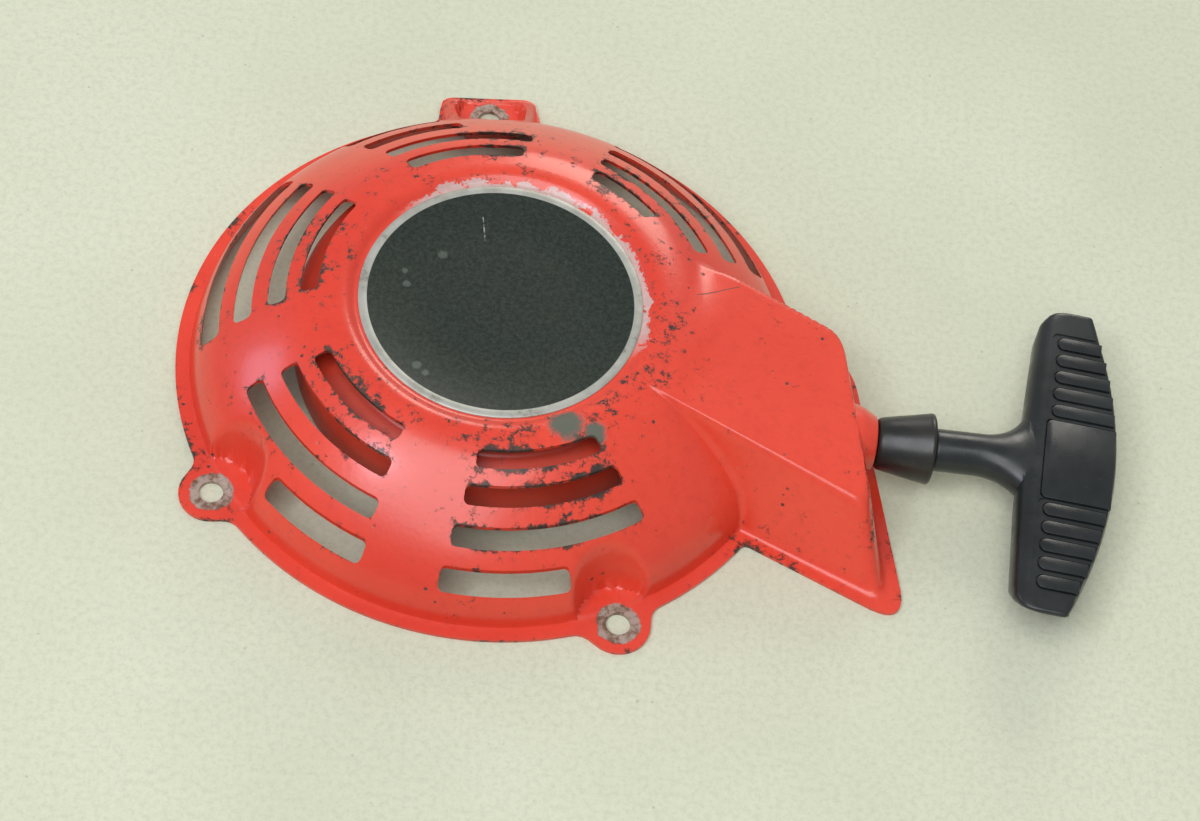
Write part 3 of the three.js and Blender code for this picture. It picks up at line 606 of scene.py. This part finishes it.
# ---------------------------------------------------------------- materials
class Shade:
    """One node material; methods add nodes and give back their output sockets."""

    def __init__(self, name):
        self.material = bpy.data.materials.new(name)
        self.material.use_nodes = True
        self.tree = self.material.node_tree
        self.bsdf = self.tree.nodes["Principled BSDF"]
        self.coords = self.tree.nodes.new("ShaderNodeTexCoord").outputs["Object"]

    def node(self, kind, **inputs):
        node = self.tree.nodes.new(kind)
        for key, value in inputs.items():
            self.feed(node.inputs[key.replace("_", " ")], value)
        return node

    def feed(self, socket, value):
        if isinstance(value, bpy.types.NodeSocket):
            self.tree.links.new(value, socket)
        else:
            socket.default_value = value

    def noise(self, scale, detail=4.0, rough=0.55, stretch=(1, 1, 1), offset=(0, 0, 0)):
        place = self.tree.nodes.new("ShaderNodeMapping")
        self.feed(place.inputs["Vector"], self.coords)
        place.inputs["Scale"].default_value = stretch
        place.inputs["Location"].default_value = offset
        texture = self.node("ShaderNodeTexNoise", Scale=scale, Detail=detail, Roughness=rough)
        self.feed(texture.inputs["Vector"], place.outputs["Vector"])
        return texture.outputs["Fac"]

    def cells(self, scale):
        texture = self.node("ShaderNodeTexVoronoi", Scale=scale)
        self.feed(texture.inputs["Vector"], self.coords)
        return texture.outputs["Distance"]

    def ramp(self, value, low, high, a=0.0, b=1.0):
        node = self.node("ShaderNodeMapRange")
        node.interpolation_type = "SMOOTHSTEP"
        self.feed(node.inputs["Value"], value)
        for key, number in (("From Min", low), ("From Max", high), ("To Min", a), ("To Max", b)):
            node.inputs[key].default_value = number
        return node.outputs["Result"]

    def math(self, operation, a, b=0.0):
        node = self.tree.nodes.new("ShaderNodeMath")
        node.operation = operation
        self.feed(node.inputs[0], a)
        self.feed(node.inputs[1], b)
        return node.outputs["Value"]

    def plus(self, a, b):
        return self.math("ADD", a, b)

    def minus(self, a, b):
        return self.math("SUBTRACT", a, b)

    def times(self, a, b):
        return self.math("MULTIPLY", a, b)

    def larger(self, a, b):
        return self.math("MAXIMUM", a, b)

    def mix(self, factor, a, b):
        node = self.tree.nodes.new("ShaderNodeMix")
        node.data_type = "RGBA"
        self.feed(node.inputs["Factor"], factor)
        self.feed(node.inputs[6], a)
        self.feed(node.inputs[7], b)
        return node.outputs[2]

    def attribute(self, name):
        node = self.tree.nodes.new("ShaderNodeAttribute")
        node.attribute_name = name
        return node.outputs["Fac"]

    def position(self):
        split = self.tree.nodes.new("ShaderNodeSeparateXYZ")
        self.feed(split.inputs["Vector"], self.coords)
        return split.outputs

    def distance(self, x, y):
        return self.math("SQRT", self.plus(self.times(x, x), self.times(y, y)))

    def radius(self):
        x, y, _ = self.position()
        return self.distance(x, y)

    def blob(self, x, y, size, ragged):
        """1 near a spot in plan, fading to 0 at size, with a ragged edge; metres."""
        px, py, _ = self.position()
        away = self.distance(self.minus(px, x), self.minus(py, y))
        return self.ramp(self.plus(away, self.times(ragged, size)), size * 1.3, size * 0.9)

    def stroke(self, x0, y0, x1, y1, width, ragged):
        """1 along a straight line in plan, fading to 0 at the given width; metres."""
        px, py, _ = self.position()
        length = math.hypot(x1 - x0, y1 - y0)
        ux, uy = (x1 - x0) / length, (y1 - y0) / length
        dx, dy = self.minus(px, x0), self.minus(py, y0)
        along = self.plus(self.times(dx, ux), self.times(dy, uy))
        across = self.math("ABSOLUTE", self.minus(self.times(dx, uy), self.times(dy, ux)))
        beyond = self.larger(self.minus(along, length), self.times(along, -1.0))
        away = self.plus(self.larger(across, beyond), self.times(ragged, width))
        return self.ramp(away, width * 1.6, width * 0.9)

    def bump(self, height, strength, distance):
        node = self.node("ShaderNodeBump", Strength=strength, Distance=distance)
        self.feed(node.inputs["Height"], height)
        previous = self.bsdf.inputs["Normal"].links
        if previous:
            self.tree.links.new(previous[0].from_socket, node.inputs["Normal"])
        self.feed(self.bsdf.inputs["Normal"], node.outputs["Normal"])

    def set(self, **inputs):
        for key, value in inputs.items():
            self.feed(self.bsdf.inputs[key.replace("_", " ")], value)
        return self.material


def rgb(red, green, blue):
    return (red, green, blue, 1.0)


def red_enamel(s):
    red = s.mix(s.ramp(s.noise(14, 3), 0.3, 0.7), rgb(0.66, 0.038, 0.016), rgb(0.75, 0.056, 0.024))
    red = s.mix(s.ramp(s.noise(260, 5, 0.7), 0.45, 0.75, 0, 0.35), red, rgb(0.54, 0.028, 0.013))
    dust = s.times(s.ramp(s.noise(700, 3, 0.8), 0.62, 0.75), s.ramp(s.noise(40, 3), 0.42, 0.6, 0, 0.5))
    return s.mix(dust, red, rgb(0.50, 0.20, 0.14))


def paint_wear(s, radius):
    """How readily paint is lost: more at the slots, the rim, the crown and the snout's end edge."""
    slot = s.attribute("slot_edge")
    loose = s.ramp(s.noise(26, 4, 0.7, offset=(3.1, 1.7, 0.4)), 0.44, 0.64)
    crown = s.times(s.ramp(radius, 0.042, 0.046), s.ramp(radius, 0.062, 0.049))
    wear = s.times(slot, s.plus(s.times(loose, 0.10), 0.03))
    wear = s.plus(wear, s.times(s.attribute("rim_edge"), s.plus(s.times(loose, 0.10), 0.06)))
    wear = s.plus(wear, s.times(crown, 0.055))
    wear = s.plus(wear, s.times(s.attribute("snout_edge"), 0.20))
    wear = s.plus(wear, s.times(loose, 0.07))
    return s.plus(wear, s.times(s.math("POWER", slot, 5.0), 0.05))


def emblem_film(s, radius):
    """1 where a pale film is left along the emblem's upper edge."""
    px, py, _ = s.position()
    upper = s.ramp(s.plus(py, s.times(px, 0.6)), 0.004, 0.022)
    ragged = s.plus(radius, s.times(s.minus(s.noise(150, 5, 0.75), 0.5), 0.010))
    film = s.times(s.ramp(ragged, 0.0443, 0.0438), upper)
    return s.times(film, s.ramp(s.noise(330, 4, 0.7), 0.36, 0.46))


def cover_paint():
    s = Shade("red_paint_worn")
    radius = s.radius()
    specks = s.noise(310, 8, 0.80)
    spots = s.plus(specks, paint_wear(s, radius))
    dots = s.times(s.ramp(s.cells(210), 0.15, 0.09), s.ramp(s.noise(60, 3, offset=(1, 2, 3)), 0.54, 0.62))
    chips = s.larger(s.ramp(spots, 0.672, 0.70), s.times(dots, 0.9))
    stain = s.ramp(spots, 0.61, 0.675, 0, 0.45)
    bolt = s.plus(s.attribute("bolt_ring"), s.times(s.minus(specks, 0.5), 1.6))
    bare = s.ramp(bolt, 0.42, 0.6)
    torn = s.noise(260, 6, 0.85)
    patch = s.larger(s.blob(0.0225, -0.0425, 0.0080, torn), s.blob(0.0310, -0.0438, 0.0052, torn))
    scratch = s.stroke(0.0579, 0.0104, 0.0702, 0.0163, 0.00022, s.noise(500, 3))
    rust = s.mix(s.ramp(s.noise(420, 4, 0.7), 0.35, 0.65), rgb(0.022, 0.014, 0.011), rgb(0.085, 0.036, 0.020))
    steel = s.mix(s.ramp(s.noise(300, 5, 0.7), 0.42, 0.62), rgb(0.42, 0.33, 0.27), rgb(0.17, 0.085, 0.045))
    pale = s.mix(s.noise(600, 3), rgb(0.52, 0.27, 0.24), rgb(0.60, 0.46, 0.42))
    colour = s.mix(stain, red_enamel(s), rgb(0.30, 0.030, 0.015))
    colour = s.mix(chips, colour, rust)
    colour = s.mix(patch, colour, rgb(0.10, 0.105, 0.075))
    colour = s.mix(scratch, colour, rgb(0.16, 0.07, 0.05))
    colour = s.mix(bare, colour, steel)
    colour = s.mix(emblem_film(s, radius), colour, pale)
    worn = s.larger(chips, s.larger(bare, s.larger(patch, scratch)))
    s.bump(s.times(worn, -1.0), 0.5, 0.0003)
    s.bump(s.noise(620, 2, 0.5), 0.22, 0.0002)
    s.bump(s.noise(70, 3, 0.5), 0.12, 0.0006)
    s.bsdf.inputs["Coat Weight"].default_value = 0.30
    s.bsdf.inputs["Coat Roughness"].default_value = 0.14
    return s.set(Base_Color=colour, Roughness=s.ramp(worn, 0, 1, 0.30, 0.72), Metallic=s.times(bare, 0.4))


def housing_paint():
    s = Shade("inner_red_paint")
    tone = s.mix(s.ramp(s.noise(30), 0.3, 0.7), rgb(0.50, 0.038, 0.018), rgb(0.60, 0.052, 0.022))
    dirt = s.ramp(s.noise(150, 6, 0.75), 0.57, 0.74)
    colour = s.mix(dirt, tone, rgb(0.10, 0.03, 0.02))
    s.bump(s.noise(300, 4), 0.1, 0.0003)
    return s.set(Base_Color=colour, Roughness=s.ramp(dirt, 0, 1, 0.34, 0.8))


def emblem_face():
    s = Shade("emblem_black_silver")
    radius = s.radius()
    grain = s.noise(700, 3, 0.8)
    speck = s.ramp(s.noise(1500, 2, 0.9), 0.62, 0.8)
    black = s.mix(s.ramp(grain, 0.3, 0.75), rgb(0.010, 0.015, 0.011), rgb(0.030, 0.040, 0.029))
    black = s.mix(s.times(speck, 0.35), black, rgb(0.15, 0.19, 0.14))
    faint = s.noise(260, 3, 0.7)
    for x, y, size in ((-18.6, 13.7, 2.6), (-29.1, 6.2, 1.5), (-28.0, 1.6, 1.7), (-19.4, -29.3, 1.6),
                       (-22.0, -27.0, 2.0)):
        drop = s.blob(x * MM, y * MM, size * MM, faint)
        black = s.mix(s.times(drop, 0.35), black, rgb(0.16, 0.20, 0.16))
    nick = s.stroke(-0.0081, 0.0293, -0.0067, 0.0208, 0.00022, faint)
    scratch = s.ramp(s.noise(60, 8, 0.8, stretch=(7, 1, 1), offset=(0.7, 0.2, 0)), 0.745, 0.77)
    nick = s.times(nick, s.ramp(s.noise(420, 4, 0.8), 0.42, 0.6, 0.05, 0.75))
    black = s.mix(s.larger(nick, s.times(scratch, 0.6)), black, rgb(0.42, 0.46, 0.42))
    silver = s.mix(s.ramp(s.noise(180, 5), 0.35, 0.7), rgb(0.46, 0.465, 0.41), rgb(0.36, 0.36, 0.31))
    silver = s.mix(s.ramp(s.noise(90, 6, 0.8), 0.6, 0.7, 0, 0.6), silver, rgb(0.10, 0.075, 0.05))
    rim = s.ramp(radius, 0.03935, 0.0396)
    colour = s.mix(rim, black, silver)
    s.bump(grain, 0.06, 0.0002)
    rough = s.ramp(rim, 0, 1, 0.38, 0.45)
    s.bsdf.inputs["Specular IOR Level"].default_value = 0.28
    return s.set(Base_Color=colour, Roughness=rough, Metallic=s.times(rim, 0.5))


def dark_plastic(name, base, light, rough, scuffs):
    s = Shade(name)
    tone = s.mix(s.ramp(s.noise(45, 4), 0.3, 0.7), base, light)
    scuff = s.ramp(s.noise(340, 6, 0.8, stretch=(1, 3, 1)), 0.6, 0.75)
    colour = s.mix(s.times(scuff, scuffs), tone, rgb(0.12, 0.12, 0.11))
    s.bump(s.noise(1300, 3, 0.7), 0.12, 0.0001)
    s.bump(s.noise(60, 3, 0.5), 0.12, 0.0006)
    return s.set(Base_Color=colour, Roughness=s.ramp(s.noise(120, 5), 0.3, 0.7, rough - 0.06, rough + 0.1))


def metal(name, base, stain, rough):
    s = Shade(name)
    mark = s.ramp(s.noise(160, 6, 0.75), 0.5, 0.7, 0, 0.5)
    colour = s.mix(mark, base, stain)
    s.bump(s.noise(900, 3, 0.7, stretch=(1, 6, 1)), 0.08, 0.0001)
    return s.set(Base_Color=colour, Roughness=s.ramp(mark, 0, 1, rough, rough + 0.3), Metallic=0.9)


def rope_weave():
    s = Shade("braided_rope")
    wave = s.node("ShaderNodeTexWave", Scale=420.0, Distortion=2.5, Detail=2.0)
    wave.bands_direction = "DIAGONAL"
    s.feed(wave.inputs["Vector"], s.coords)
    other = s.node("ShaderNodeTexWave", Scale=380.0, Distortion=2.5, Detail=2.0)
    s.feed(other.inputs["Vector"], s.coords)
    braid = s.times(wave.outputs["Fac"], other.outputs["Fac"])
    colour = s.mix(s.ramp(braid, 0.05, 0.6), rgb(0.22, 0.20, 0.16), rgb(0.62, 0.59, 0.50))
    s.bump(braid, 0.6, 0.0004)
    return s.set(Base_Color=colour, Roughness=0.85)


def board():
    s = Shade("pale_board")
    tone = s.mix(s.ramp(s.noise(7, 4), 0.3, 0.7), rgb(0.575, 0.59, 0.435), rgb(0.63, 0.645, 0.485))
    grain = s.ramp(s.noise(500, 4, 0.8), 0.38, 0.72, 0, 0.42)
    colour = s.mix(grain, tone, rgb(0.40, 0.41, 0.30))
    dots = s.times(s.ramp(s.cells(190), 0.11, 0.05), s.ramp(s.noise(60, 2), 0.55, 0.65))
    colour = s.mix(s.times(dots, 0.5), colour, rgb(0.32, 0.28, 0.22))
    s.bump(s.noise(800, 3), 0.08, 0.0002)
    return s.set(Base_Color=colour, Roughness=0.72)


# ---------------------------------------------------------------- object
def dress(obj, material):
    obj.data.materials.clear()
    obj.data.materials.append(material)


def dress_node(name, material):
    for slot in nodes[name].material_slots:
        slot.link = "OBJECT"
        slot.material = material


def put(obj, material, body, slot, *replaced):
    dress(obj, material)
    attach(obj, body)
    if replaced:
        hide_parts(*replaced)


paint = cover_paint()
rubber = dark_plastic("bumper_rubber_black", rgb(0.010, 0.010, 0.010), rgb(0.022, 0.020, 0.016), 0.30, 0.3)
grip_black = dark_plastic("grip_satin_black", rgb(0.008, 0.010, 0.010), rgb(0.016, 0.019, 0.019), 0.30, 0.3)
reel_black = dark_plastic("reel_moulding", rgb(0.018, 0.020, 0.023), rgb(0.030, 0.032, 0.036), 0.42, 0.3)
nylon = dark_plastic("bush_nylon", rgb(0.58, 0.55, 0.47), rgb(0.66, 0.63, 0.55), 0.4, 0.2)
zinc = metal("zinc_plate", rgb(0.62, 0.62, 0.60), rgb(0.30, 0.27, 0.22), 0.3)
steel = metal("plain_steel", rgb(0.42, 0.42, 0.42), rgb(0.16, 0.12, 0.09), 0.34)
spring_steel = metal("spring_steel", rgb(0.16, 0.165, 0.17), rgb(0.07, 0.06, 0.05), 0.32)
rope = rope_weave()

put(make_cover(), paint, "case", "red_paint", "starter_case")
put(make_boss(), paint, "case", "red_paint")
put(make_housing(), housing_paint(), "case", "inner_paint", "reel_housing")
put(make_emblem(), emblem_face(), "case", "emblem_black", "emblem_plate")
put(make_grip(), grip_black, "handle", "grip_plastic", "pull_handle")
put(make_bumper(), rubber, "handle", "black_rubber", "rubber_bumper")
put(rope_tube("rope_coil_wound", coil_path()), rope, "reel", "rope_cord", "rope_coil")

lead = rope_tube("rope_lead_run", lead_path())
dress(lead, rope)
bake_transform(lead)
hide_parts("rope_lead")

rivets = [f"housing_rivet_{k}" for k in range(1, 5)]
carried_over = [
    (rope, ["rope_knot_grip", "rope_knot_reel"]),
    (zinc, ["rope_retainer", "ratchet_guide", "friction_washer", "centre_screw"]),
    (steel, ["reel_shaft", "pawl_a", "pawl_b", "pawl_pin_a", "pawl_pin_b", *rivets]),
    (spring_steel, ["recoil_spring", "pawl_spring_a", "pawl_spring_b", "friction_spring"]),
    (reel_black, ["reel"]),
    (nylon, ["rope_bush"]),
]
for material, names in carried_over:
    for name in names:
        dress_node(name, material)


# ---------------------------------------------------------------- floor, light, camera
def make_floor():
    size = 6000
    floor = mesh_from("floor_board", [(-size, -size, 0), (size, -size, 0), (size, size, 0), (-size, size, 0)],
                      [(0, 1, 2, 3)])
    dress(floor, board())


def area_light(name, place, target, size, power, colour):
    data = bpy.data.lights.new(name, "AREA")
    data.energy, data.size, data.color = power, size, colour
    light = bpy.data.objects.new(name, data)
    light.location = place
    light.rotation_euler = (Vector(target) - Vector(place)).to_track_quat("-Z", "Y").to_euler()
    bpy.context.scene.collection.objects.link(light)


def make_camera():
    place = Vector((-0.0038, -0.4885, 0.7009))
    right = Vector((0.9925, 0.0699, 0.1007)).normalized()
    ahead = Vector((0.0442, 0.5622, -0.8258)).normalized()
    up = right.cross(ahead).normalized()
    right = ahead.cross(up)
    data = bpy.data.cameras.new("camera")
    data.lens, data.sensor_width = 84.0, 36.0
    data.clip_start, data.clip_end = 0.01, 50.0
    camera = bpy.data.objects.new("camera", data)
    rows = [(right[k], up[k], -ahead[k], place[k]) for k in range(3)]
    camera.matrix_world = Matrix((*rows, (0, 0, 0, 1)))
    bpy.context.scene.collection.objects.link(camera)
    bpy.context.scene.camera = camera


def make_light():
    world = bpy.data.worlds.new("studio")
    world.use_nodes = True
    world.node_tree.nodes["Background"].inputs["Color"].default_value = rgb(0.93, 0.96, 1.0)
    world.node_tree.nodes["Background"].inputs["Strength"].default_value = 0.45
    bpy.context.scene.world = world
    area_light("window", (0.45, 1.9, 1.0), (0.02, 0, 0), 0.9, 13, (1.0, 0.94, 0.84))
    area_light("sky", (-0.35, -0.75, 1.75), (0.02, -0.05, 0), 1.5, 27, (0.95, 0.98, 1.0))
    area_light("fill", (-0.95, -0.66, 1.55), (0.02, 0, 0), 0.34, 5, (0.86, 0.80, 1.0))
    area_light("side", (-1.7, 0.35, 0.8), (0.06, 0, 0), 0.4, 3, (0.62, 0.72, 1.0))


bpy.context.scene.view_settings.view_transform = "Standard"
make_floor()
make_camera()
make_light()
